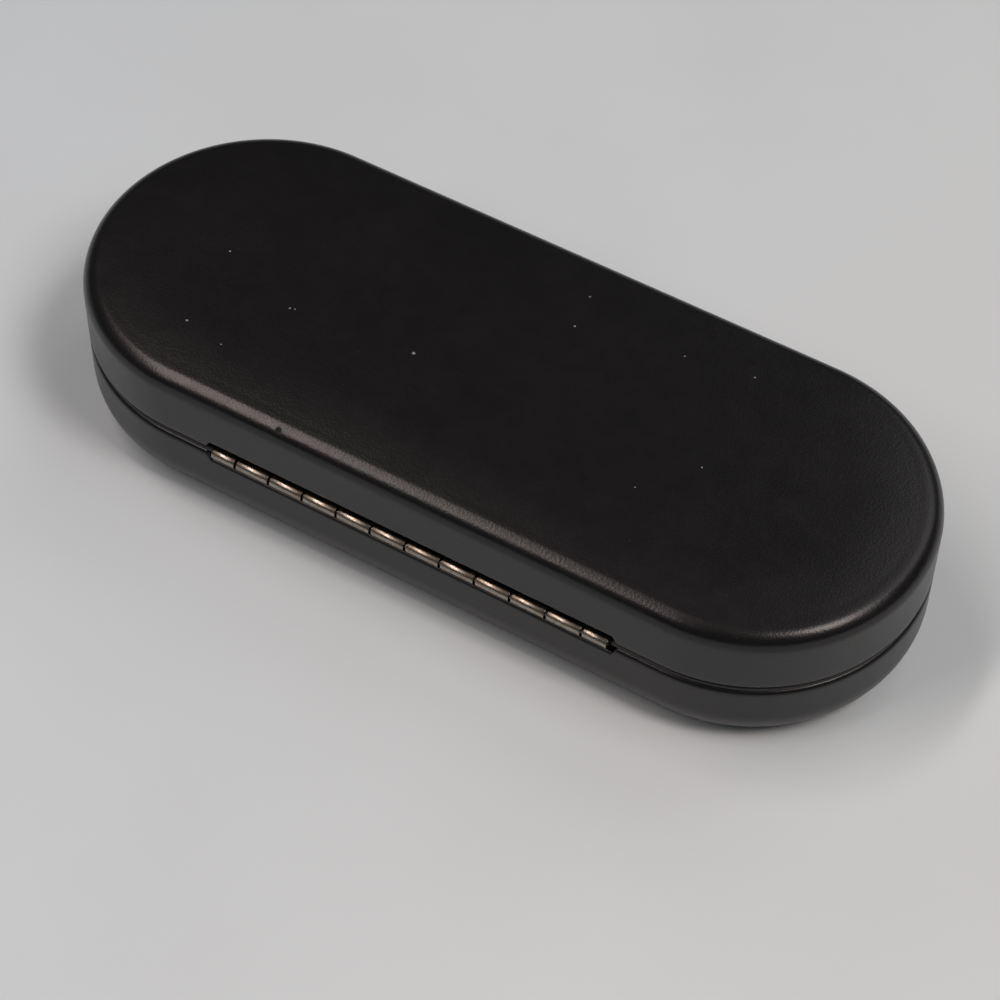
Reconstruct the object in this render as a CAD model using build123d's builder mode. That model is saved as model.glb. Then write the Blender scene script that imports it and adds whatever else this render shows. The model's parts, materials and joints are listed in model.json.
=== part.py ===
from build123d import *

import os
from dataclasses import dataclass
from math import radians, tan

# A hard clamshell case for sunglasses: two pressed shells, covered outside and lined inside,
# joined by a piano hinge in the rear seam and held shut by over-centre wire springs.
# X runs along the case, Y from the front to the hinge side, Z up.
# The origin is the centre of the flat underside.

# Outside of the closed case
case_length = 160.0
case_width = 63.0
case_height = 30.2
seam_height = 15.8
base_edge_radius = 8.0
lid_edge_radius = 3.0
least_edge_radius = 1.2

# Layers of the walls
cover_thickness = 0.7
shell_thickness = 0.5
liner_thickness = 0.8
glue_line = 0.05
turn_in_depth = 5.0
layer_end_gap = 0.4

# Band on the base's rim, on which the lid closes
band_height = 1.0
band_setback = 0.4
band_edge_radius = 0.45
band_skirt_thickness = 0.5
band_skirt_depth = 3.5
lid_gap = 0.2

# Piano hinge
hinge_setback = 0.3
knuckle_pitch = 6.8
full_knuckles = 10
end_knuckle_length = 4.8
knuckle_gap = 0.5
pin_radius = 0.5
pin_clearance = 0.05
leaf_thickness = 0.45
notch_clearance = 1.2
notch_end_clearance = 0.5
leaf_end_clearance = 0.3

# Rivets that hold a leaf to its shell
rivet_radius = 0.75
rivet_head_radius = 1.3
rivet_head_height = 0.45
rivet_sink_radius = 1.2
rivet_sink_depth = 0.35
rivet_clearance = 0.05
rivet_edge_distance = 1.6
rivet_end_distance = 4.8
inner_rivet_x = 8.0

# Over-centre springs
open_angle = 120.0
wire_radius = 0.5
eye_clearance = 0.05
eye_from_leaf = 1.0
lug_tip_radius = 1.0
lug_width = 0.45
spring_positions = {"spring_left": -22.0, "spring_right": 22.0}
spring_half_width = 6.0
spring_pin_length = 3.0
lid_lug_offset = 8.0
base_lug_offset = 3.5
wire_bend_radius = 1.0
wire_bow_radius = 3.2
wire_straight = 0.1

# Fabric strip over the springs
strip_thickness = 0.6
strip_clearance = 0.6
lug_clearance = 0.4
strip_flange = 1.6
strip_end_margin = 6.0
window_margin = 1.2

# Sizes that follow from those above
half_width = case_width / 2
rear_zone_y = half_width / 2
hinge_length = full_knuckles * knuckle_pitch + 2 * end_knuckle_length
shell_inset = cover_thickness + glue_line
shell_inside = shell_inset + shell_thickness
turn_in_outside = shell_inside + glue_line
turn_in_inside = turn_in_outside + cover_thickness
rim_radius = 0.475 * turn_in_inside
knuckle_radius = pin_radius + pin_clearance + leaf_thickness
bore_radius = pin_radius + pin_clearance
hinge_y = half_width - hinge_setback
straight_wall = min(seam_height - base_edge_radius, case_height - seam_height - lid_edge_radius)
leaf_height = straight_wall - knuckle_radius - leaf_end_clearance
rivet_from_axis = knuckle_radius + leaf_height - rivet_edge_distance
outer_rivet_x = hinge_length / 2 - rivet_end_distance
notch_half_height = knuckle_radius + notch_clearance
notch_half_length = hinge_length / 2 + notch_end_clearance
leaf_outside_y = half_width - shell_inside
leaf_inside_y = leaf_outside_y - leaf_thickness
eye_y = leaf_inside_y - eye_from_leaf
eye_rise = (hinge_y - eye_y) * tan(radians(open_angle / 2))
bow_y = eye_y - wire_bend_radius - wire_straight - wire_bow_radius
hardware_depth = leaf_thickness + rivet_head_height + rivet_clearance
spring_reach = max(abs(x) for x in spring_positions.values()) + spring_half_width + spring_pin_length
window_half_length = spring_reach + window_margin
bulge_half_height = eye_rise + lug_tip_radius + lug_clearance
bulge_inside_y = bow_y - wire_radius - strip_clearance
relief_half_length = hinge_length / 2 + leaf_end_clearance


@dataclass
class Half:
    """One half of the case: where it ends, where its rim is, and how far in its liner lies."""

    name: str
    flat_z: float
    rim_z: float
    edge_radius: float
    liner_inset: float
    leads: bool

    @property
    def way(self):
        """+1 where the half opens upward, -1 where it opens downward."""
        return 1 if self.rim_z > self.flat_z else -1

    @property
    def liner_inside(self):
        return self.liner_inset + liner_thickness

    def below_rim(self, depth):
        """The height that lies so deep inside the half, counted from its rim."""
        return self.rim_z - self.way * depth

    def from_axis(self, distance):
        """The height at this distance from the hinge axis, on the half's own side."""
        return seam_height - self.way * distance


base = Half(
    name="base",
    flat_z=0.0,
    rim_z=seam_height - (band_height + lid_gap) / 2,
    edge_radius=base_edge_radius,
    liner_inset=max(
        turn_in_inside + band_skirt_thickness + 2 * glue_line, shell_inside + hardware_depth
    ),
    leads=False,
)
lid = Half(
    name="lid",
    flat_z=case_height,
    rim_z=seam_height + (band_height + lid_gap) / 2,
    edge_radius=lid_edge_radius,
    liner_inset=max(turn_in_inside + glue_line, shell_inside + hardware_depth),
    leads=True,
)
strip_wall_y = half_width - max(base.liner_inside, lid.liner_inside)


def pan(half, inset, stop_z):
    """A block with the case's outline, inset at its sides and its flat end, whose end edge is round."""
    start_z = half.flat_z + half.way * inset
    with BuildPart() as block:
        with BuildSketch(Plane.XY.offset(start_z)):
            SlotOverall(case_length - 2 * inset, case_width - 2 * inset)
        extrude(amount=stop_z - start_z)
        levels = block.edges().group_by(Axis.Z)
        fillet(levels[0] if half.way > 0 else levels[-1], max(half.edge_radius - inset, least_edge_radius))
    return block.part


def prism(inset, start_z, stop_z):
    """A straight block with the case's outline, inset at its sides."""
    with BuildPart() as block:
        with BuildSketch(Plane.XY.offset(start_z)):
            SlotOverall(case_length - 2 * inset, case_width - 2 * inset)
        extrude(amount=stop_z - start_z)
    return block.part


def rear_block(half_length, one_z, other_z, low_y=rear_zone_y, high_y=case_width):
    """A box at the middle of the rear wall, between two heights and two depths."""
    with BuildPart() as block:
        with BuildSketch(Plane.XY.offset(one_z)):
            with Locations((0, (low_y + high_y) / 2)):
                Rectangle(2 * half_length, high_y - low_y)
        extrude(amount=other_z - one_z)
    return block.part


def rivet_blank(x, z, extra=0.0):
    """A rivet through shell and leaf, sunk flush outside and domed inside; extra widens it into its hole."""
    outside = half_width - shell_inset
    inside = leaf_inside_y
    with BuildPart() as rivet:
        with BuildSketch(Plane(origin=(x, outside, z), x_dir=(1, 0, 0), z_dir=(0, 0, 1))):
            with BuildLine():
                Polyline(
                    (0, 0),
                    (rivet_sink_radius + extra, 0),
                    (rivet_radius + extra, -rivet_sink_depth),
                    (rivet_radius + extra, inside - outside),
                    (rivet_head_radius + extra, inside - outside),
                )
                EllipticalCenterArc(
                    (0, inside - outside),
                    rivet_head_radius + extra,
                    rivet_head_height + extra,
                    start_angle=270,
                    arc_size=90,
                )
                Line((0, inside - outside - rivet_head_height - extra), (0, 0))
            make_face()
        revolve(axis=Axis((x, 0, z), (0, 1, 0)))
    return rivet.part


def rivet_places(half):
    """The rivets of one leaf, which lie in a row along its free edge."""
    row = (-outer_rivet_x, -inner_rivet_x, inner_rivet_x, outer_rivet_x)
    return [(x, half.from_axis(rivet_from_axis)) for x in row]


def shell_notch(half, room=0.0):
    """The notch in a shell's rim, which the cover lines; room is what the cover's fold keeps free round it."""
    lining = cover_thickness + glue_line - room
    return rear_block(
        notch_half_length + lining,
        half.from_axis(notch_half_height + lining),
        half.below_rim(-cover_thickness),
    )


def make_shell(half):
    """Pressed steel pan, with a notch for the hinge and countersunk rivet holes."""
    outside = pan(half, shell_inset, half.below_rim(shell_inset))
    inside = pan(half, shell_inside, half.rim_z)
    notch = shell_notch(half)
    holes = [rivet_blank(x, z, rivet_clearance) for x, z in rivet_places(half)]
    with BuildPart() as shell:
        add(outside)
        add([inside, notch, *holes], mode=Mode.SUBTRACT)
    return shell.part


def fold_room(half):
    """The room inside a cover's fold, which holds the shell and its glue."""
    outside = pan(half, cover_thickness, half.below_rim(cover_thickness))
    turned_in = prism(turn_in_outside, half.below_rim(turn_in_depth), half.rim_z)
    notch = shell_notch(half, glue_line)
    with BuildPart() as room:
        add(outside)
        add([turned_in, notch], mode=Mode.SUBTRACT)
    return room.part


def make_cover(half):
    """Leatherette skin: outside the shell, round over its rim, and turned in behind it."""
    outside = pan(half, 0, half.rim_z)
    mouth = prism(turn_in_inside, half.below_rim(turn_in_depth), half.rim_z)
    room = fold_room(half)
    above_rim = half.below_rim(-band_height)
    hinge_notch = rear_block(notch_half_length, half.from_axis(notch_half_height), above_rim)
    leaf_relief = rear_block(
        relief_half_length,
        half.below_rim(turn_in_depth + layer_end_gap),
        above_rim,
        high_y=leaf_outside_y,
    )
    with BuildPart() as cover:
        add(outside)
        add(mouth, mode=Mode.SUBTRACT)
        rim = cover.edges().filter_by_position(Axis.Z, half.rim_z - glue_line, half.rim_z + glue_line)
        fillet(rim, rim_radius)
        add([room, hinge_notch, leaf_relief], mode=Mode.SUBTRACT)
    return cover.part


def make_padding(half):
    """Foam between the shell and the liner, cut away round the hinge leaf and its rivets."""
    stop_z = half.below_rim(turn_in_depth + layer_end_gap)
    outside = pan(half, shell_inside + glue_line, stop_z)
    inside = pan(half, half.liner_inset - glue_line, stop_z)
    leaf_end_z = half.from_axis(knuckle_radius + leaf_height + layer_end_gap)
    leaf_relief = rear_block(relief_half_length, leaf_end_z, half.rim_z)
    with BuildPart() as padding:
        add(outside)
        add([inside, leaf_relief], mode=Mode.SUBTRACT)
    return padding.part


def make_liner(half):
    """Thin tray with a window in its rear wall, through which the springs bow."""
    rim_z = half.below_rim(glue_line)
    outside = pan(half, half.liner_inset, rim_z)
    inside = pan(half, half.liner_inside, rim_z)
    window = rear_block(window_half_length, half.from_axis(bulge_half_height), half.rim_z)
    with BuildPart() as liner:
        add(outside)
        add([inside, window], mode=Mode.SUBTRACT)
    return liner.part


def knuckle_spans():
    """The start and end of each knuckle along X, from the left end of the hinge to the right."""
    half_full = full_knuckles * knuckle_pitch / 2
    joints = [-half_full + knuckle_pitch * i for i in range(full_knuckles + 1)]
    marks = [-hinge_length / 2, *joints, hinge_length / 2]
    spans = []
    for left, right in zip(marks[:-1], marks[1:]):
        start = left if left == marks[0] else left + knuckle_gap / 2
        stop = right if right == marks[-1] else right - knuckle_gap / 2
        spans.append((start, stop))
    return spans


def lug_places(half):
    """The middle of each lug along X: outside the bows on the lid, between them on the base."""
    offset = lid_lug_offset if half.leads else base_lug_offset
    return [x + side * offset for x in spring_positions.values() for side in (-1, 1)]


def make_leaf(half):
    """Hinge leaf from one strip of steel: plate, necks, rolled knuckles and lugs for the springs."""
    neck_start = half.from_axis(knuckle_radius)
    neck_stop = half.from_axis(knuckle_radius - leaf_thickness)
    plate = rear_block(
        hinge_length / 2,
        half.from_axis(knuckle_radius + leaf_height),
        neck_stop,
        low_y=leaf_inside_y,
        high_y=leaf_outside_y,
    )
    holes = [rivet_blank(x, z, rivet_clearance) for x, z in rivet_places(half)]
    own_spans = knuckle_spans()[0 if half.leads else 1 :: 2]
    eye_z = half.from_axis(eye_rise)
    with BuildPart() as leaf:
        add(plate)
        for start, stop in own_spans:
            with BuildSketch(Plane.YZ.offset(start)):
                with Locations((hinge_y, seam_height)):
                    Circle(knuckle_radius)
                with Locations(((leaf_inside_y + hinge_y) / 2, (neck_start + neck_stop) / 2)):
                    Rectangle(hinge_y - leaf_inside_y, leaf_thickness)
                with Locations((hinge_y, seam_height)):
                    Circle(bore_radius, mode=Mode.SUBTRACT)
            extrude(amount=stop - start)
        for middle in lug_places(half):
            with BuildSketch(Plane.YZ.offset(middle - lug_width / 2)):
                with Locations((eye_y, eye_z)):
                    Circle(lug_tip_radius)
                with Locations(((eye_y + leaf_inside_y) / 2, eye_z)):
                    Rectangle(leaf_inside_y - eye_y, 2 * lug_tip_radius)
                with Locations((eye_y, eye_z)):
                    Circle(wire_radius + eye_clearance, mode=Mode.SUBTRACT)
            extrude(amount=lug_width)
        add(holes, mode=Mode.SUBTRACT)
    return leaf.part


def make_rivets(half):
    """Four rivets, which lie apart."""
    blanks = [rivet_blank(x, z) for x, z in rivet_places(half)]
    with BuildPart() as rivets:
        add(blanks)
    return rivets.part


def make_pin():
    """Wire through all the knuckles."""
    with BuildPart() as pin:
        with BuildSketch(Plane.YZ.offset(-hinge_length / 2)):
            with Locations((hinge_y, seam_height)):
                Circle(pin_radius)
        extrude(amount=hinge_length)
    return pin.part


def make_spring(middle):
    """One wire: a pin in each lid lug, two bows, and a crosspiece in the base lugs."""
    lid_z = lid.from_axis(eye_rise)
    base_z = base.from_axis(eye_rise)
    left = middle - spring_half_width
    right = middle + spring_half_width
    corners = [
        (left - spring_pin_length, eye_y, lid_z),
        (left, eye_y, lid_z),
        (left, bow_y, lid_z),
        (left, bow_y, base_z),
        (left, eye_y, base_z),
        (right, eye_y, base_z),
        (right, bow_y, base_z),
        (right, bow_y, lid_z),
        (right, eye_y, lid_z),
        (right + spring_pin_length, eye_y, lid_z),
    ]
    bow = [wire_bend_radius, wire_bow_radius, wire_bow_radius, wire_bend_radius]
    with BuildPart() as spring:
        with BuildLine():
            FilletPolyline(*corners, radius=bow + bow)
        with BuildSketch(Plane(origin=corners[0], z_dir=(1, 0, 0))):
            Circle(wire_radius)
        sweep()
    return spring.part


def make_band():
    """Black band on the base's wrapped rim: a bead outside and a skirt inside, open at the hinge."""
    top_z = base.rim_z + band_height
    skirt_end_z = base.below_rim(band_skirt_depth)
    skirt_inset = turn_in_inside + glue_line
    bead_outside = prism(band_setback, base.rim_z, top_z)
    bead_inside = prism(base.liner_inside, base.rim_z, top_z)
    skirt_outside = prism(skirt_inset, skirt_end_z, base.rim_z + band_height / 2)
    skirt_inside = prism(skirt_inset + band_skirt_thickness, skirt_end_z, base.rim_z)
    hinge_gap = rear_block(notch_half_length, skirt_end_z, top_z)
    with BuildPart() as band:
        add(bead_outside)
        add(bead_inside, mode=Mode.SUBTRACT)
        levels = band.edges().group_by(Axis.Z)
        fillet(levels[0] + levels[-1], band_edge_radius)
        add(skirt_outside - bead_inside)
        add([skirt_inside, hinge_gap], mode=Mode.SUBTRACT)
    return band.part


def make_strip():
    """Fabric over the springs: a bulge between two flanges that lie on the liners' rear walls."""
    bulge_radius = wire_bow_radius + wire_radius
    fold_radius = bulge_radius + strip_thickness
    wall_y = strip_wall_y - glue_line
    flange_y = wall_y - strip_thickness
    outside = bulge_half_height + strip_thickness
    with BuildPart() as strip:
        with BuildSketch(Plane.YZ.offset(-window_half_length - strip_end_margin)):
            with BuildLine():
                FilletPolyline(
                    (wall_y, seam_height - bulge_half_height),
                    (bulge_inside_y, seam_height - bulge_half_height),
                    (bulge_inside_y, seam_height + bulge_half_height),
                    (wall_y, seam_height + bulge_half_height),
                    radius=bulge_radius,
                )
                Line((wall_y, seam_height + bulge_half_height), (wall_y, seam_height + outside + strip_flange))
                Line(
                    (wall_y, seam_height + outside + strip_flange),
                    (flange_y, seam_height + outside + strip_flange),
                )
                Line((flange_y, seam_height + outside + strip_flange), (flange_y, seam_height + outside))
                FilletPolyline(
                    (flange_y, seam_height + outside),
                    (bulge_inside_y - strip_thickness, seam_height + outside),
                    (bulge_inside_y - strip_thickness, seam_height - outside),
                    (flange_y, seam_height - outside),
                    radius=fold_radius,
                )
                Line((flange_y, seam_height - outside), (flange_y, seam_height - outside - strip_flange))
                Line(
                    (flange_y, seam_height - outside - strip_flange),
                    (wall_y, seam_height - outside - strip_flange),
                )
                Line((wall_y, seam_height - outside - strip_flange), (wall_y, seam_height - bulge_half_height))
            make_face()
        extrude(amount=2 * (window_half_length + strip_end_margin))
    return strip.part


pieces = {}
for half in (base, lid):
    pieces[f"{half.name}_cover"] = make_cover(half)
    pieces[f"{half.name}_shell"] = make_shell(half)
    pieces[f"{half.name}_padding"] = make_padding(half)
    pieces[f"{half.name}_liner"] = make_liner(half)
    pieces[f"hinge_leaf_{half.name}"] = make_leaf(half)
    pieces[f"leaf_rivets_{half.name}"] = make_rivets(half)
pieces["base_rim_band"] = make_band()
pieces["hinge_pin"] = make_pin()
pieces["hinge_strip"] = make_strip()
for name, middle in spring_positions.items():
    pieces[name] = make_spring(middle)

os.makedirs("parts", exist_ok=True)
for name, piece in pieces.items():
    piece.label = name
    export_step(piece, f"parts/{name}.step")
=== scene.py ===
import json
from math import cos, pi, radians, sin, tan

import bmesh
import bpy
import numpy as np
from mathutils import Matrix, Vector, noise


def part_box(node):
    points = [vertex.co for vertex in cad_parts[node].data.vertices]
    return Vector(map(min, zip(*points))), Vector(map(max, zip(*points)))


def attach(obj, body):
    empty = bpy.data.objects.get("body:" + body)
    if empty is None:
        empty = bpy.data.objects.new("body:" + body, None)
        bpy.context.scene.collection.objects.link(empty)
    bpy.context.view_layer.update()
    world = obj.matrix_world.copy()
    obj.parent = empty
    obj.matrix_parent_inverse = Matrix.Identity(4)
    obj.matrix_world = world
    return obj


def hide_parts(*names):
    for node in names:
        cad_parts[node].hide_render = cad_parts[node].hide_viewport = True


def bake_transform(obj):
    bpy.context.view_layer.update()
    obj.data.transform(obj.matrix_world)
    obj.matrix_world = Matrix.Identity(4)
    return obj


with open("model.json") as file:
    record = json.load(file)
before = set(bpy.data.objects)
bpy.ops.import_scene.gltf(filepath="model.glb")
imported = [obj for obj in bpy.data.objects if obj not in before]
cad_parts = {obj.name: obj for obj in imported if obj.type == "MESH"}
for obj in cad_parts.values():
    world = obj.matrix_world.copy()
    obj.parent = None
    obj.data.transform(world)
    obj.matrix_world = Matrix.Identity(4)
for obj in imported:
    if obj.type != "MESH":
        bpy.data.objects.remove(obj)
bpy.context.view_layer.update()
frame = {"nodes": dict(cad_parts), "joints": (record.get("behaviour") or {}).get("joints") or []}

# A hard sunglasses case: leatherette skins, flocked liners, a fabric strip over the springs and a
# worn nickel piano hinge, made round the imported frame. Metres; X along the case, Y to the hinge.

mm = 0.001

# Outline and levels, from the frame
lid_low, lid_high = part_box("lid_cover")
base_low, base_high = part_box("base_cover")
half_width = lid_high.y
cap_x = lid_high.x - half_width
hinge_axis = Vector(frame["joints"][0]["pos_m"])
leaf_half_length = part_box("hinge_leaf_lid")[1].x

# Skin and its fold over the rim
skin = 0.7 * mm
fold_outside = 1.3 * mm
fold_inside = 2.0 * mm
fold_depth = 5.0 * mm
fold_gap = 0.05 * mm
rim_radius = 0.95 * mm
rim_flat = 0.01 * mm
lid_edge_radius = 3.0 * mm
base_edge_radius = 8.0 * mm
least_skin_edge = 0.6 * mm

# How far the lid's top falls towards its edge, and how uneven the skin is
lid_crown = 0.85 * mm
shoulder = 15.0 * mm
waviness = 0.07 * mm
swell_size = 26 * mm
ripple_size = 7 * mm

# Notch for the hinge
notch_half_length = leaf_half_length + 0.5 * mm
notch_half_height = 2.2 * mm
notch_corner = 1.2 * mm
notch_rim_radius = 0.6 * mm
notch_wall = 1.25 * mm
relief_half_length = leaf_half_length + 0.3 * mm
relief_corner = 0.2 * mm
relief_depth = skin + 0.1 * mm

# Liners and foam
liner_wall = 0.8 * mm
liner_rim_radius = 0.35 * mm
liner_to_rim = 0.05 * mm
least_pan_edge = 1.2 * mm
foam_outside = 1.3 * mm
foam_gap = 0.05 * mm
foam_to_leaf = 0.4 * mm
foam_relief_corner = 0.3 * mm
window_half_length = 32.2 * mm
window_corner = 1.4 * mm

# Strip over the springs: its section is a flattened arch, pressed flat at the strip's ends
strip_low, strip_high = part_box("hinge_strip")
strip_thickness = 0.4 * mm
strip_to_wall = 0.1 * mm
strip_flange = 2.2 * mm
strip_taper = 5.6 * mm
strip_stations = 280
arch_steps = 44
arch_squareness = 2.6
arch_fullness = 2.2
pucker_depth = 0.16 * mm
pucker_length = 3.2 * mm
pucker_width = 9 * mm
gather_length = 0.55 * mm

# Stations round the outline: close together at the corners of the notch and of the liner's window
station_step = 2.2 * mm
close_step = 0.14 * mm
least_step = 0.05 * mm
before_corner = 1.2 * mm
past_corner = 1.4 * mm
cap_degrees = 2.5

# Marks on the leatherette where the photograph shows them, as x, y and size in mm: dust on the
# lid's top, and a nick in its rear edge, which lies a little below the top
dust_spots = (
    (54.3, 1.4, 0.4), (51.8, 18.5, 0.5), (43.8, 20.0, 0.35), (38.2, 7.1, 0.4), (37.3, 6.9, 0.3),
    (14.6, 4.8, 0.65), (-4.8, -21.9, 0.5), (-5.9, -14.6, 0.45), (8.8, -26.0, 0.35),
    (-25.3, -18.4, 0.35), (-37.7, -20.4, 0.5), (-51.2, -26.0, 0.35), (-58.0, -20.2, 0.35),
    (-31.7, 10.7, 0.3), (-39.2, 1.4, 0.3),
)
nick_spots = ((25.7, 30.1, 1.3),)
nick_drop = 1.1 * mm

# Table
table_reach = 6.0
table_drop = 0.02 * mm
# Direction in which painted shade darkens the table's colour
painted_shade_direction = (0.49, -0.87, 0.0)

# Camera: found by fitting the case's outline, seam and hinge to the photograph
camera_azimuth = 209.528
camera_elevation = 52.382
camera_roll = 1.131
camera_distance = 525.05 * mm
camera_aim = (-0.153 * mm, -13.059 * mm)
aim_height = 15 * mm
focal_px = 3024.5
frame_px = 1000
sensor_mm = 36.0

# Lights: large and far off, with a little light from the room
panel_distance = 3.0
warm = (1.0, 0.86, 0.81)
neutral = (1.0, 0.96, 0.95)
room_colour = (0.92, 0.96, 1.0, 1)
room_strength = 0.07


def smoothstep(share):
    """0 below 0, 1 above 1, and smooth between."""
    share = np.clip(share, 0, 1)
    return share * share * (3 - 2 * share)


def arc(start, stop, steps):
    """Angles from start to stop in degrees, without the first one."""
    return np.radians(np.linspace(start, stop, steps + 1)[1:])


def linked(name, data):
    """A new object in the scene."""
    made = bpy.data.objects.new(name, data)
    bpy.context.scene.collection.objects.link(made)
    return made


class Outline:
    """Stations round the stadium: a point on its middle line and the outward normal of each."""

    def __init__(self):
        coarse = np.arange(-cap_x, cap_x, station_step)
        close = [np.arange(end - before_corner, end + past_corner, close_step)
                 for end in (notch_half_length, window_half_length)]
        side = np.unique(np.concatenate([coarse, *close, *[-c for c in close], [cap_x]]).round(7))
        side = side[np.concatenate([[True], np.diff(side) > least_step])]
        cap = np.radians(np.arange(cap_degrees, 180, cap_degrees))
        self.x = np.concatenate([side[::-1], 0 * cap - cap_x, side, 0 * cap + cap_x])
        angle = np.concatenate([0 * side + pi / 2, cap + pi / 2, 0 * side - pi / 2, cap - pi / 2])
        self.normal = np.stack([np.cos(angle), np.sin(angle)], axis=1)
        self.rear = np.concatenate([0 * side + 1, 0 * cap, 0 * side, 0 * cap])

    def within(self, half_length, corner):
        """1 at the rear wall's stations within half_length of the middle, 0 past the corner."""
        return self.rear * smoothstep((half_length + corner - np.abs(self.x)) / corner)


class Half:
    """One half of the case: where its flat face and its rim lie, and how round its edge is."""

    def __init__(self, name, flat_z, rim_z, edge_radius, liner_inset, crown):
        self.name = name
        self.flat_z = flat_z
        self.height = abs(rim_z - flat_z)
        self.way = 1 if rim_z > flat_z else -1
        self.edge_radius = edge_radius
        self.liner_inset = liner_inset
        self.crown = crown

    def sag(self, inset):
        """How far the flat face has sunk this far from the outline: only near its edge."""
        return self.crown * max(0.0, 1 - inset / shoulder) ** 2

    def level(self, z):
        """How far this height is from the flat face."""
        return abs(z - self.flat_z)


outline = Outline()
base = Half("base", base_low.z, base_high.z, base_edge_radius,
            half_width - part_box("base_liner")[1].y, 0.0)
lid = Half("lid", lid_high.z, lid_low.z, lid_edge_radius,
           half_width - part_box("lid_liner")[1].y, lid_crown)


def finished(name, mesh, welded=False):
    """A smooth object of the mesh, with its faces outwards and, if asked, its doubled points welded."""
    tidy = bmesh.new()
    tidy.from_mesh(mesh)
    if welded:
        bmesh.ops.remove_doubles(tidy, verts=tidy.verts, dist=0.002 * mm)
        bmesh.ops.dissolve_degenerate(tidy, edges=tidy.edges, dist=0.001 * mm)
    bmesh.ops.recalc_face_normals(tidy, faces=tidy.faces)
    tidy.to_mesh(mesh)
    tidy.free()
    mesh.shade_smooth()
    return linked(name, mesh)


def swept(name, half, columns):
    """A closed skin: the section's columns of (inset, height) carried round the outline."""
    count = len(outline.x)
    inset = np.stack([np.broadcast_to(c[0], count) for c in columns], axis=1)
    height = np.stack([np.broadcast_to(c[1], count) for c in columns], axis=1)
    reach = half_width - inset
    points = np.stack([
        outline.x[:, None] + reach * outline.normal[:, :1],
        reach * outline.normal[:, 1:],
        half.flat_z + half.way * height,
    ], axis=2)
    rows = len(columns)
    faces = []
    for i in range(count):
        j = (i + 1) % count
        for k in range(rows - 1):
            face = (i * rows + k, j * rows + k, j * rows + k + 1, i * rows + k + 1)
            faces.append(face if half.way < 0 else face[::-1])
    mesh = bpy.data.meshes.new(name)
    mesh.from_pydata(points.reshape(-1, 3).tolist(), [], faces)
    return finished(name, mesh, welded=True)


def rounded_pan(inset, edge_radius, height, steps, reverse=False):
    """Section columns of a pan's bottom and wall: from the middle line out and up to a height."""
    columns = [(d, 0.0 * height) for d in np.linspace(half_width, edge_radius + inset, steps)]
    for a in arc(0, 90, steps):
        rise = edge_radius * (1 - np.cos(a)) + 0 * height
        columns.append((inset + edge_radius * (1 - np.sin(a)), rise))
    for share in np.linspace(0, 1, steps)[1:]:
        columns.append((inset, edge_radius + share * (height - edge_radius)))
    return columns[::-1] if reverse else columns


def raised(columns, height):
    """The same columns, this much further from the flat face."""
    return [(d, height + h) for d, h in columns]


def make_cover(half):
    """Leatherette: over the flat face and the wall, round over the rim, and turned in behind it."""
    notched = outline.within(notch_half_length, notch_corner)
    relieved = outline.within(relief_half_length, relief_corner)
    seam_gap = half.level(hinge_axis.z) - half.height
    rim = half.height - notched * (notch_half_height - seam_gap)
    round_rim = rim_radius + notched * (notch_rim_radius - rim_radius)
    inside = fold_inside + relieved * (notch_wall - fold_inside)
    inner_round = np.minimum(round_rim, inside - round_rim) - rim_flat
    depth = fold_depth + relieved * (relief_depth - fold_depth)
    behind = fold_outside + relieved * (notch_wall - fold_gap - fold_outside)

    columns = []
    for d in np.linspace(half_width, half.edge_radius, 34):
        columns.append((d, half.sag(d)))
    for a in arc(0, 90, 14):
        d = half.edge_radius * (1 - sin(a))
        columns.append((d, half.edge_radius * (1 - cos(a)) + half.sag(d)))
    foot = half.edge_radius + half.crown
    for share in np.linspace(0, 1, 9)[1:]:
        columns.append((0.0, foot + share * (rim - round_rim - foot)))
    for a in arc(0, 90, 8):
        columns.append((round_rim * (1 - cos(a)), rim - round_rim * (1 - sin(a))))
    for a in np.concatenate([[0], arc(0, 90, 8)]):
        columns.append((inside - inner_round * (1 - sin(a)), rim - inner_round * (1 - cos(a))))
    for share in (0.4, 1.0):
        columns.append((inside, rim - inner_round - share * (depth - inner_round)))
    columns.append((behind, rim - depth))
    columns.append((behind, rim - skin))
    columns.append((skin, rim - skin))
    inner_edge = max(half.edge_radius - skin, least_skin_edge)
    back = rounded_pan(skin, inner_edge, rim - 2 * skin - fold_gap, 6, reverse=True)
    columns += raised(back, skin)
    piece = swept(f"{half.name}_leatherette", half, columns)
    press_unevenly(piece, half)
    return piece


def press_unevenly(piece, half):
    """Lets the outer surface sink a little here and there, as glued leatherette over steel does."""
    near_wall = 0.3 * mm
    near_flat = 0.5 * mm
    resting = 0.4 * mm
    count = len(piece.data.vertices)
    normals = np.zeros(3 * count)
    places = np.zeros(3 * count)
    piece.data.vertices.foreach_get("normal", normals)
    piece.data.vertices.foreach_get("co", places)
    places = places.reshape(-1, 3)
    reach = np.hypot(places[:, 0] - np.clip(places[:, 0], -cap_x, cap_x), places[:, 1])
    outside = (reach > half_width - near_wall) | (np.abs(places[:, 2] - half.flat_z) < near_flat)
    if half.name == "base":
        outside &= places[:, 2] > resting
    sink = np.zeros(count)
    for i in np.flatnonzero(outside):
        swell = noise.noise(Vector(places[i] * (1 / swell_size)))
        ripple = noise.noise(Vector(places[i] * (1 / ripple_size)) + Vector((7, 3, 5)))
        sink[i] = waviness * (0.5 + 0.37 * swell + 0.13 * ripple)
    places -= normals.reshape(-1, 3) * sink[:, None]
    piece.data.vertices.foreach_set("co", places.ravel())
    piece.data.update()


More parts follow.
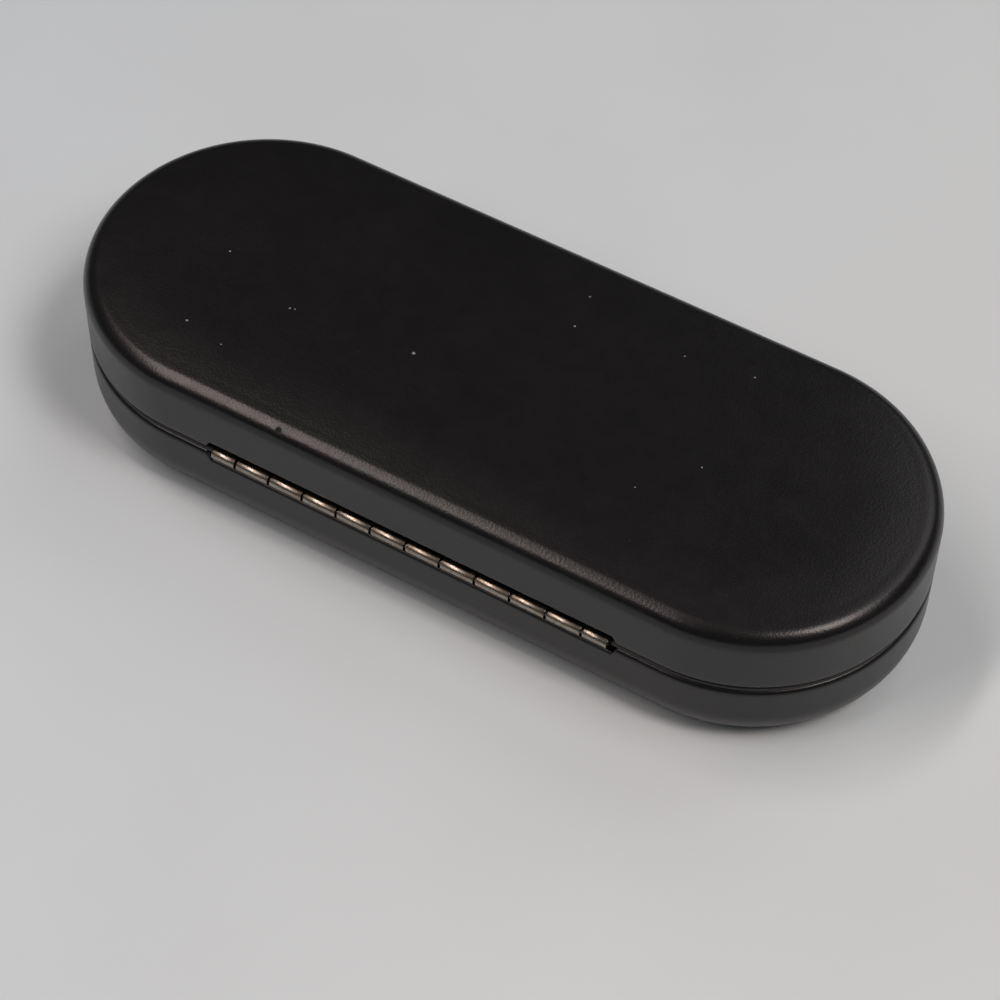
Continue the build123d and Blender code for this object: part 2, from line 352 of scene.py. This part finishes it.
def make_liner(half):
    """Flocked tray with a round lip and a window for the springs in its rear wall."""
    windowed = outline.within(window_half_length, window_corner)
    lip = half.height - liner_to_rim
    strip_edge = strip_low.z + strip_flange if half.name == "base" else strip_high.z - strip_flange
    drop = lip - half.level(strip_edge)
    rim = lip - windowed * drop
    inset = half.liner_inset
    floor = inset + liner_wall
    outer_edge = max(half.edge_radius - inset, least_pan_edge)
    inner_edge = max(half.edge_radius - inset - liner_wall, least_pan_edge)
    outer = rounded_pan(inset, outer_edge, rim - inset - liner_rim_radius, 8)
    inner = rounded_pan(floor, inner_edge, rim - floor - liner_rim_radius, 12, reverse=True)
    columns = raised(outer, inset)
    for a in arc(0, 180, 8):
        across = inset + liner_wall / 2 * (1 - cos(a))
        columns.append((across, rim - liner_rim_radius * (1 - sin(a))))
    columns += raised(inner, floor)
    return swept(f"{half.name}_flocked_liner", half, columns)


def make_foam(half):
    """Thin foam between the shell and the liner, cut away round the hinge leaf."""
    relieved = outline.within(relief_half_length, foam_relief_corner)
    node_low, node_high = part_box(f"{half.name}_padding")
    leaf_low, leaf_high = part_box(f"hinge_leaf_{half.name}")
    rim = half.level(node_high.z if half.way > 0 else node_low.z)
    leaf_end = half.level(leaf_low.z if half.way > 0 else leaf_high.z) - foam_to_leaf
    top = rim - relieved * (rim - leaf_end)
    inside = half.liner_inset - foam_gap
    outer_edge = max(half.edge_radius - foam_outside, least_pan_edge)
    inner_edge = max(half.edge_radius - inside, least_pan_edge)
    outer = rounded_pan(foam_outside, outer_edge, top - foam_outside, 6)
    inner = rounded_pan(inside, inner_edge, top - inside, 6, reverse=True)
    return swept(f"{half.name}_foam", half, raised(outer, foam_outside) + raised(inner, inside))


def strip_section():
    """Heights across the strip, from its lower edge to its upper one, and its bulge there, 0 to 1."""
    half_height = (strip_high.z - strip_low.z) / 2
    half_arch = half_height - strip_flange
    across = np.concatenate([
        np.linspace(-half_height, -half_arch, 6)[:-1],
        -half_arch * np.cos(np.linspace(0, pi, arch_steps)),
        np.linspace(half_arch, half_height, 6)[1:],
    ])
    bulged = np.clip(1 - np.abs(across / half_arch) ** arch_squareness, 0, 1) ** (1 / arch_fullness)
    return across, bulged


def grid_faces(rows, stations):
    """Faces of a grid whose points are counted along each of its stations in turn."""
    return [(i * rows + k, i * rows + k + 1, (i + 1) * rows + k + 1, (i + 1) * rows + k)
            for i in range(stations - 1) for k in range(rows - 1)]


def grid_edge(rows, stations):
    """The points round the edge of such a grid."""
    last = (stations - 1) * rows
    ring = list(range(rows))
    ring += [i * rows + rows - 1 for i in range(1, stations)]
    ring += [last + k for k in range(rows - 2, -1, -1)]
    ring += [i * rows for i in range(stations - 2, 0, -1)]
    return ring


def normals_of(points, faces):
    """The normals of an open sheet, all on the side that looks into the case."""
    mesh = bpy.data.meshes.new("sheet")
    mesh.from_pydata(points, [], faces)
    mesh.update()
    normals = np.zeros(len(points) * 3)
    mesh.vertices.foreach_get("normal", normals)
    bpy.data.meshes.remove(mesh)
    normals = normals.reshape(-1, 3)
    return normals if normals[:, 1].mean() < 0 else -normals


def make_strip():
    """Woven strip: flanges glued to the liners, and a bulge over the springs. Also its flat size."""
    wall = strip_high.y - strip_thickness / 2 - strip_to_wall
    bulge = wall - strip_low.y - strip_thickness / 2 - pucker_depth
    middle = (strip_low.z + strip_high.z) / 2
    half_length = strip_high.x
    across, bulged = strip_section()
    points, cloth_places = [], []
    for x in np.linspace(-half_length, half_length, strip_stations):
        end = float(smoothstep((half_length - abs(x)) / strip_taper))
        for t, b in zip(across, bulged):
            pucker = noise.noise(Vector((x / pucker_length, t / pucker_width, 0.5)))
            gather = (1 - end) * sin(x / gather_length) * 0.5
            lift = (pucker + gather) * pucker_depth * min(1, 3 * b) if b > 0 else 0.0
            points.append((x, wall - end * bulge * b - lift * 0.9, middle + t))
            cloth_places.append((x, t, 0.0))

    rows = len(across)
    count = len(points)
    front = grid_faces(rows, strip_stations)
    back = [tuple(v + count for v in face[::-1]) for face in front]
    ring = grid_edge(rows, strip_stations)
    edge = [(a, b, b + count, a + count) for a, b in zip(ring, ring[1:] + ring[:1])]
    inward = normals_of(points, front)
    centre = np.array(points)
    offset = inward * strip_thickness / 2
    sides = np.concatenate([centre + offset, centre - offset])
    mesh = bpy.data.meshes.new("spring_strip")
    mesh.from_pydata(sides.tolist(), [], front + back + edge)
    cloth = mesh.attributes.new("cloth", "FLOAT_VECTOR", "POINT")
    cloth.data.foreach_set("vector", np.array(cloth_places + cloth_places).ravel())

    section = np.stack([wall - bulge * bulged, across], axis=1)
    developed = float(np.linalg.norm(np.diff(section, axis=0), axis=1).sum())
    return finished("spring_strip", mesh), (2 * half_length, developed)


def new_material(name):
    """A material with only its output and a principled shader."""
    material = bpy.data.materials.new(name)
    material.use_nodes = True
    tree = material.node_tree
    tree.nodes.clear()
    output = tree.nodes.new("ShaderNodeOutputMaterial")
    shader = tree.nodes.new("ShaderNodeBsdfPrincipled")
    tree.links.new(shader.outputs["BSDF"], output.inputs["Surface"])
    return material, tree, shader


def feed(tree, socket, value):
    """Gives a socket its value, or links it if the value is another node's output."""
    if isinstance(value, bpy.types.NodeSocket):
        tree.links.new(value, socket)
    else:
        socket.default_value = value


def node(tree, kind, settings=None, **inputs):
    """A node with its settings and its inputs, by name, or by number as i0, i1 and so on."""
    made = tree.nodes.new("ShaderNode" + kind)
    for key, value in (settings or {}).items():
        setattr(made, key, value)
    for key, value in inputs.items():
        numbered = key[0] == "i" and key[1:].isdigit()
        feed(tree, made.inputs[int(key[1:]) if numbered else key.replace("_", " ")], value)
    return made


def noise_of(tree, where, size, detail=2.0, roughness=0.5, distortion=0.0):
    """Noise whose features are about this size, from 0 to 1."""
    return node(tree, "TexNoise", None, Vector=where, Scale=1 / size, Detail=detail,
                Roughness=roughness, Distortion=distortion).outputs["Fac"]


def between(tree, value, low, high, to_low, to_high):
    """The value stretched from one range to another, and held within it."""
    return node(tree, "MapRange", None, Value=value, From_Min=low, From_Max=high,
                To_Min=to_low, To_Max=to_high).outputs["Result"]


def maths(tree, operation, first, second):
    """The result of one sum on two numbers."""
    return node(tree, "Math", {"operation": operation}, i0=first, i1=second).outputs[0]


def vector_maths(tree, operation, first, second):
    """The number that this operation on two vectors gives."""
    made = node(tree, "VectorMath", {"operation": operation}, i0=first, i1=second)
    return made.outputs["Value"]


def mixed(tree, share, first, second):
    """A mix of two colours, whose sockets come sixth and seventh on a Mix node."""
    return node(tree, "Mix", {"data_type": "RGBA"}, i0=share, i6=first, i7=second).outputs[2]


def bumped(tree, height, depth, under=None):
    """A normal from a height of 0 to 1 that stands for this depth."""
    made = node(tree, "Bump", None, Height=height, Distance=depth, Strength=1.0)
    if under is not None:
        tree.links.new(under, made.inputs["Normal"])
    return made.outputs["Normal"]


def finish_with(tree, shader, **sockets):
    """Sets the shader's sockets, by value or by link."""
    for key, value in sockets.items():
        feed(tree, shader.inputs[key.replace("_", " ")], value)


def here(tree):
    """The place on the piece, in metres."""
    return node(tree, "TexCoord").outputs["Object"]


def specks(tree, where, spots, drop=0.0):
    """1 at each spot, given as x, y and diameter in mm, this far below the lid's top; 0 elsewhere."""
    ragged = noise_of(tree, where, 0.25 * mm, roughness=0.6)
    total = None
    for x, y, size in spots:
        centre = (x * mm, y * mm, lid_high.z - drop)
        away = vector_maths(tree, "DISTANCE", where, centre)
        away = maths(tree, "ADD", away, between(tree, ragged, 0.3, 0.7, -0.08 * mm, 0.08 * mm))
        spot = between(tree, away, 0.25 * size * mm, 0.55 * size * mm, 1.0, 0.0)
        total = spot if total is None else maths(tree, "MAXIMUM", total, spot)
    return total


def leatherette_material():
    """Smooth matte black leatherette: fine pebbles, faint cloudiness, handling marks and dust."""
    material, tree, shader = new_material("leatherette")
    where = here(tree)
    clouds = noise_of(tree, where, 18 * mm, detail=3.0)
    smudges = noise_of(tree, where, 5 * mm, detail=4.0, roughness=0.6, distortion=0.6)
    pebbles = node(tree, "TexVoronoi", {"feature": "SMOOTH_F1"}, Vector=where,
                   Scale=1 / (0.42 * mm), Smoothness=0.6).outputs["Distance"]
    pores = noise_of(tree, where, 0.16 * mm)
    creases = noise_of(tree, where, 1.1 * mm, detail=3.0, roughness=0.55)
    colour = mixed(tree, between(tree, clouds, 0.3, 0.7, 0.0, 1.0),
                   (0.0038, 0.0033, 0.0038, 1), (0.0046, 0.0040, 0.0044, 1))
    dust = specks(tree, where, dust_spots)
    lint = noise_of(tree, where, 0.5 * mm, detail=1.0)
    dust = maths(tree, "MAXIMUM", dust, between(tree, lint, 0.84, 0.88, 0.0, 0.35))
    colour = mixed(tree, dust, colour, (0.32, 0.30, 0.28, 1))
    nick = specks(tree, where, nick_spots, nick_drop)
    colour = mixed(tree, nick, colour, (0.002, 0.002, 0.002, 1))
    rough = maths(tree, "ADD", between(tree, clouds, 0.3, 0.7, 0.29, 0.31),
                  between(tree, smudges, 0.35, 0.7, -0.012, 0.028))
    worn = maths(tree, "MAXIMUM", dust, nick)
    rough = maths(tree, "ADD", rough, maths(tree, "MULTIPLY", worn, 0.5))
    normal = bumped(tree, creases, 0.010 * mm)
    normal = bumped(tree, pebbles, 0.014 * mm, under=normal)
    normal = bumped(tree, pores, 0.006 * mm, under=normal)
    normal = bumped(tree, dust, 0.05 * mm, under=normal)
    finish_with(tree, shader, Base_Color=colour, Roughness=rough, Normal=normal, IOR=1.5)
    return material


def flocking_material():
    """Short black flock, brushed one way here and another there."""
    material, tree, shader = new_material("flocking")
    where = here(tree)
    brushed = noise_of(tree, where, 14 * mm, detail=3.0, distortion=1.2)
    tufts = noise_of(tree, where, 0.35 * mm, detail=3.0, roughness=0.7)
    fibres = noise_of(tree, where, 0.09 * mm, roughness=0.7)
    colour = mixed(tree, between(tree, brushed, 0.35, 0.65, 0.0, 1.0),
                   (0.0065, 0.0065, 0.0075, 1), (0.0135, 0.0130, 0.0145, 1))
    colour = mixed(tree, between(tree, fibres, 0.45, 0.8, 0.0, 0.6), colour, (0.03, 0.03, 0.032, 1))
    normal = bumped(tree, tufts, 0.10 * mm)
    normal = bumped(tree, fibres, 0.06 * mm, under=normal)
    finish_with(tree, shader, Base_Color=colour, Roughness=0.95, Normal=normal,
                Specular_IOR_Level=0.2, Sheen_Weight=0.35, Sheen_Roughness=0.45,
                Sheen_Tint=(0.55, 0.55, 0.6, 1))
    return material


def band_material():
    """Satin black plastic with fine scuffs along it."""
    material, tree, shader = new_material("band_plastic")
    where = here(tree)
    scuffs = noise_of(tree, where, 0.6 * mm, detail=4.0, roughness=0.7)
    clouds = noise_of(tree, where, 9 * mm)
    colour = mixed(tree, between(tree, clouds, 0.3, 0.7, 0.0, 1.0),
                   (0.012, 0.012, 0.013, 1), (0.022, 0.021, 0.021, 1))
    rough = between(tree, scuffs, 0.3, 0.75, 0.5, 0.66)
    finish_with(tree, shader, Base_Color=colour, Roughness=rough,
                Normal=bumped(tree, scuffs, 0.008 * mm), IOR=1.5)
    return material


def nickel_material():
    """Nickel plate, worn to a warmer tone in places, with drawn marks, tarnish, and painted shade
    darkening the gaps.
    """
    material, tree, shader = new_material("hinge_nickel")
    where = here(tree)
    squeezed = node(tree, "Mapping", None, Vector=where, Scale=(0.12, 1.0, 1.0)).outputs["Vector"]
    drawn = noise_of(tree, squeezed, 0.09 * mm, detail=3.0, roughness=0.6)
    blotches = noise_of(tree, where, 1.6 * mm, detail=4.0, roughness=0.65, distortion=0.4)
    tarnish = noise_of(tree, where, 0.5 * mm, detail=3.0, roughness=0.6)
    plate = mixed(tree, between(tree, blotches, 0.42, 0.66, 0.0, 1.0),
                  (0.36, 0.325, 0.285, 1), (0.29, 0.225, 0.165, 1))
    tarnished = between(tree, tarnish, 0.55, 0.75, 0.0, 0.7)
    plate = mixed(tree, tarnished, plate, (0.10, 0.08, 0.06, 1))
    # Painted shade: ambient occlusion darkens the colour in the hinge's gaps and under the barrel.
    shade = node(tree, "AmbientOcclusion", {"samples": 6}, Distance=1.5 * mm).outputs["AO"]
    painted_gap_shade = between(tree, shade, 0.4, 0.8, 1.0, 0.0)
    colour = mixed(tree, painted_gap_shade, plate, (0.035, 0.028, 0.022, 1))
    rough = maths(tree, "ADD", between(tree, blotches, 0.3, 0.7, 0.22, 0.34),
                  between(tree, drawn, 0.3, 0.7, -0.03, 0.07))
    normal = bumped(tree, drawn, 0.006 * mm)
    normal = bumped(tree, blotches, 0.02 * mm, under=normal)
    finish_with(tree, shader, Base_Color=colour, Metallic=1.0, Roughness=rough, Normal=normal)
    return material


def steel_material(name, light, dark, rough_low, rough_high, mark_size):
    """Plain steel with drawing or pressing marks of the given size."""
    material, tree, shader = new_material(name)
    where = here(tree)
    marks = noise_of(tree, where, mark_size, detail=4.0, roughness=0.65)
    clouds = noise_of(tree, where, 8 * mark_size)
    colour = mixed(tree, between(tree, clouds, 0.3, 0.7, 0.0, 1.0), dark, light)
    finish_with(tree, shader, Base_Color=colour, Metallic=1.0,
                Roughness=between(tree, marks, 0.3, 0.7, rough_low, rough_high),
                Normal=bumped(tree, marks, 0.01 * mm))
    return material


def woven_material():
    """Thin black plain weave; the threads follow the cloth's own coordinates."""
    material, tree, shader = new_material("strip_fabric")
    where = node(tree, "Attribute", {"attribute_name": "cloth"}).outputs["Vector"]
    warp, weft = [
        node(tree, "TexWave", {"bands_direction": way}, Vector=where, Scale=1 / (2.2 * mm),
             Distortion=0.4, Detail=1.0).outputs["Fac"] for way in ("X", "Y")]
    threads = maths(tree, "MULTIPLY", warp, weft)
    slubs = noise_of(tree, where, 2.5 * mm, detail=3.0)
    fuzz = noise_of(tree, where, 0.12 * mm)
    colour = mixed(tree, threads, (0.006, 0.006, 0.007, 1), (0.022, 0.022, 0.024, 1))
    colour = mixed(tree, between(tree, slubs, 0.4, 0.75, 0.0, 0.5), colour, (0.028, 0.027, 0.028, 1))
    normal = bumped(tree, threads, 0.09 * mm)
    normal = bumped(tree, fuzz, 0.03 * mm, under=normal)
    finish_with(tree, shader, Base_Color=colour, Roughness=0.85, Normal=normal,
                Specular_IOR_Level=0.25, Sheen_Weight=0.3, Sheen_Roughness=0.5,
                Sheen_Tint=(0.6, 0.6, 0.65, 1))
    return material


def foam_material():
    """Closed-cell foam, dark grey."""
    material, tree, shader = new_material("foam")
    where = here(tree)
    cells = node(tree, "TexVoronoi", {"feature": "DISTANCE_TO_EDGE"}, Vector=where,
                 Scale=1 / (0.5 * mm)).outputs["Distance"]
    tone = between(tree, cells, 0.0, 0.25, 0.0, 1.0)
    colour = mixed(tree, tone, (0.03, 0.03, 0.033, 1), (0.075, 0.075, 0.08, 1))
    finish_with(tree, shader, Base_Color=colour, Roughness=0.9,
                Normal=bumped(tree, tone, 0.08 * mm), Specular_IOR_Level=0.3)
    return material


def table_material():
    """Pale matt table top, with painted light: a cooler tint towards +X, and painted shade darkening the
    side away from the camera.
    """
    material, tree, shader = new_material("table")
    where = here(tree)
    painted_cool_light_x = node(tree, "SeparateXYZ", None, Vector=where).outputs["X"]
    away = vector_maths(tree, "DOT_PRODUCT", where, painted_shade_direction)
    mottle = noise_of(tree, where, 60 * mm, detail=3.0)
    # Painted light: the tint turns cooler towards +X.
    colour = mixed(tree, between(tree, painted_cool_light_x, -0.25, 0.25, 0.0, 1.0),
                   (0.80, 0.855, 0.86, 1), (0.745, 0.855, 0.92, 1))
    # Painted shade: darker towards the side away from the camera.
    colour = mixed(tree, between(tree, away, -0.2, 0.2, 0.0, 0.12), colour, (0.0, 0.0, 0.0, 1))
    colour = mixed(tree, between(tree, mottle, 0.3, 0.7, 0.0, 0.12), colour, (0.5, 0.5, 0.5, 1))
    finish_with(tree, shader, Base_Color=colour, Roughness=0.55, Specular_IOR_Level=0.25)
    return material


def dress(piece, material):
    """Gives a piece one material."""
    piece.data.materials.clear()
    piece.data.materials.append(material)


def soften_edges(piece, width):
    """Rounds a metal node's stamped edges a little, without touching its mesh."""
    weld = piece.modifiers.new("weld", "WELD")
    weld.merge_threshold = 0.002 * mm
    bevel = piece.modifiers.new("soft_edges", "BEVEL")
    bevel.width = width
    bevel.segments = 2
    bevel.limit_method = "ANGLE"
    bevel.angle_limit = radians(40)
    bevel.use_clamp_overlap = True


def place_pieces():
    """Makes the pieces that stand for CAD nodes, and puts the skins, liners and foam on their bodies."""
    leatherette = leatherette_material()
    flocking = flocking_material()
    foam = foam_material()
    for half in (base, lid):
        cover = make_cover(half)
        liner = make_liner(half)
        pad = make_foam(half)
        for piece, material, part, slot in (
            (cover, leatherette, "cover", "leatherette"),
            (liner, flocking, "liner", "flocking"),
            (pad, foam, "padding", "foam"),
        ):
            dress(piece, material)
            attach(piece, half.name)
            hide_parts(f"{half.name}_{part}")

    strip, flat = make_strip()
    dress(strip, woven_material())
    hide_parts("hinge_strip")
    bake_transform(strip)


def dress_nodes():
    """Gives the CAD nodes that stay their materials."""
    nodes = frame["nodes"]
    nickel = nickel_material()
    for name in ("hinge_leaf_base", "hinge_leaf_lid", "hinge_pin"):
        dress(nodes[name], nickel)
        soften_edges(nodes[name], 0.07 * mm)
    dress(nodes["base_rim_band"], band_material())
    pressed = steel_material("shell_steel", light=(0.5, 0.5, 0.51, 1), dark=(0.36, 0.36, 0.37, 1),
                             rough_low=0.35, rough_high=0.55, mark_size=2 * mm)
    plain = steel_material("rivet_steel", light=(0.55, 0.55, 0.55, 1), dark=(0.4, 0.4, 0.4, 1),
                           rough_low=0.25, rough_high=0.45, mark_size=0.4 * mm)
    wire = steel_material("spring_steel", light=(0.4, 0.39, 0.38, 1), dark=(0.28, 0.27, 0.26, 1),
                          rough_low=0.22, rough_high=0.4, mark_size=0.2 * mm)
    for name, material in (
        ("base_shell", pressed), ("lid_shell", pressed),
        ("leaf_rivets_base", plain), ("leaf_rivets_lid", plain),
        ("spring_left", wire), ("spring_right", wire),
    ):
        dress(nodes[name], material)


def make_table():
    """A wide plain table top just under the case."""
    corners = [(-1, -1), (1, -1), (1, 1), (-1, 1)]
    points = [(x * table_reach, y * table_reach, -table_drop) for x, y in corners]
    mesh = bpy.data.meshes.new("table_top")
    mesh.from_pydata(points, [], [(0, 1, 2, 3)])
    table = linked("table_top", mesh)
    dress(table, table_material())


def make_camera():
    """The photograph's camera, looking along its fitted direction with a slight roll."""
    a, e, r = (radians(v) for v in (camera_azimuth, camera_elevation, camera_roll))
    back = Vector((sin(a) * cos(e), -cos(a) * cos(e), sin(e)))
    level = Vector((0, 0, 1)).cross(back).normalized()
    upright = back.cross(level)
    right = cos(r) * level + sin(r) * upright
    up = cos(r) * upright - sin(r) * level
    aim = Vector((0, 0, aim_height)) + camera_aim[0] * right + camera_aim[1] * up
    data = bpy.data.cameras.new("camera")
    data.sensor_width = sensor_mm
    data.lens = focal_px * sensor_mm / frame_px
    data.clip_start = 0.01
    data.clip_end = 50
    turn = Matrix((right, up, back)).transposed()
    camera = linked("camera", data)
    camera.matrix_world = Matrix.Translation(aim + camera_distance * back) @ turn.to_4x4()
    bpy.context.scene.camera = camera


def panel(name, azimuth, elevation, along, across, radiance, colour):
    """A rectangular light seen from the case in this direction, spanning these angles.

    Azimuth goes from +X towards +Y. One side, which spans the angle along, is parallel to Y.
    """
    a, e = radians(azimuth), radians(elevation)
    direction = Vector((cos(a) * cos(e), sin(a) * cos(e), sin(e)))
    side = Vector((0, 1, 0)).cross(direction).normalized()
    data = bpy.data.lights.new(name, "AREA")
    data.shape = "RECTANGLE"
    data.size = 2 * panel_distance * tan(radians(across / 2))
    data.size_y = 2 * panel_distance * tan(radians(along / 2))
    data.energy = radiance * data.size * data.size_y * pi
    data.color = colour
    facing = Matrix((side, direction.cross(side), direction)).transposed()
    light = linked(name, data)
    light.matrix_world = Matrix.Translation(direction * panel_distance) @ facing.to_4x4()


def light_the_table():
    """A long light over one end, two lights over the other, and a broad weak one beyond the case."""
    panel("overhead_left", azimuth=31, elevation=61, along=54, across=6, radiance=12.0, colour=warm)
    panel("overhead_right", azimuth=175, elevation=57, along=13, across=20, radiance=11.5, colour=warm)
    panel("overhead_far", azimuth=196, elevation=62, along=20, across=12, radiance=5.0, colour=neutral)
    panel("behind_right", azimuth=250, elevation=46, along=34, across=34, radiance=1.0, colour=neutral)
    world = bpy.data.worlds.new("room")
    world.use_nodes = True
    background = world.node_tree.nodes["Background"]
    background.inputs["Color"].default_value = room_colour
    background.inputs["Strength"].default_value = room_strength
    bpy.context.scene.world = world


place_pieces()
dress_nodes()
make_table()
make_camera()
light_the_table()
bpy.context.scene.view_settings.view_transform = "Standard"
